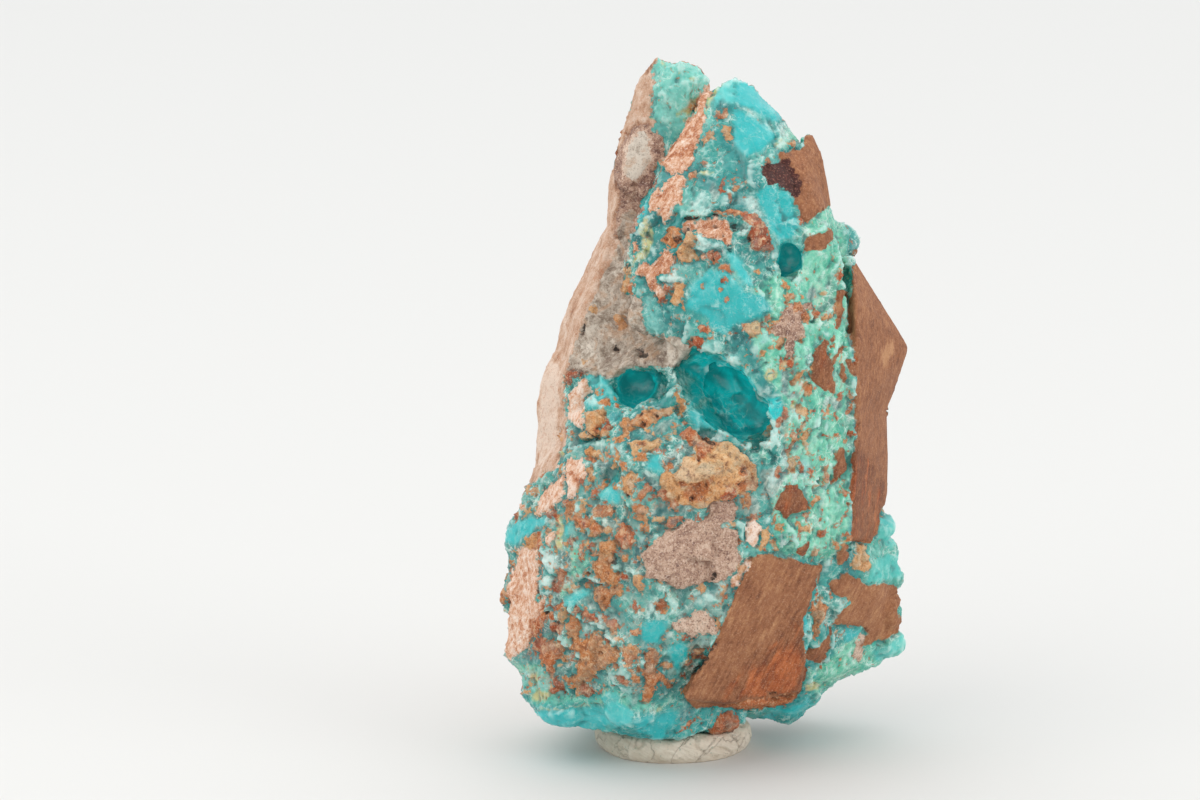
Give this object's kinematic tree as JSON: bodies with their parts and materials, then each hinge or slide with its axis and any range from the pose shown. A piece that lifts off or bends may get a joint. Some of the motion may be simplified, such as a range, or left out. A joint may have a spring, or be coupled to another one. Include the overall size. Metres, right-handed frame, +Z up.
{
  "type": "hemimorphite mineral specimen",
  "caption": "Tall wedge of brown and grey rock crusted with turquoise hemimorphite, standing on end on a flattened pat of off-white putty.",
  "frame": {"origin": "on the putty pat's flat underside, 0.8 mm in front of its centre, on the surface it stands on", "axes": "+Z up along the specimen's length; the crusted show face looks towards -Y; the smooth brown plate is on the +X side"},
  "size_m": [0.0389, 0.0295, 0.0661],
  "materials": {
    "hemimorphite_stone": "glassy turquoise crust over dull brown and grey rock",
    "putty": "matt, hand-pressed mineral putty"
  },
  "bodies": {
    "root": {"hemimorphite_stone": "hemimorphite_stone", "putty_pat": "putty"}
  },
  "joints": []
}
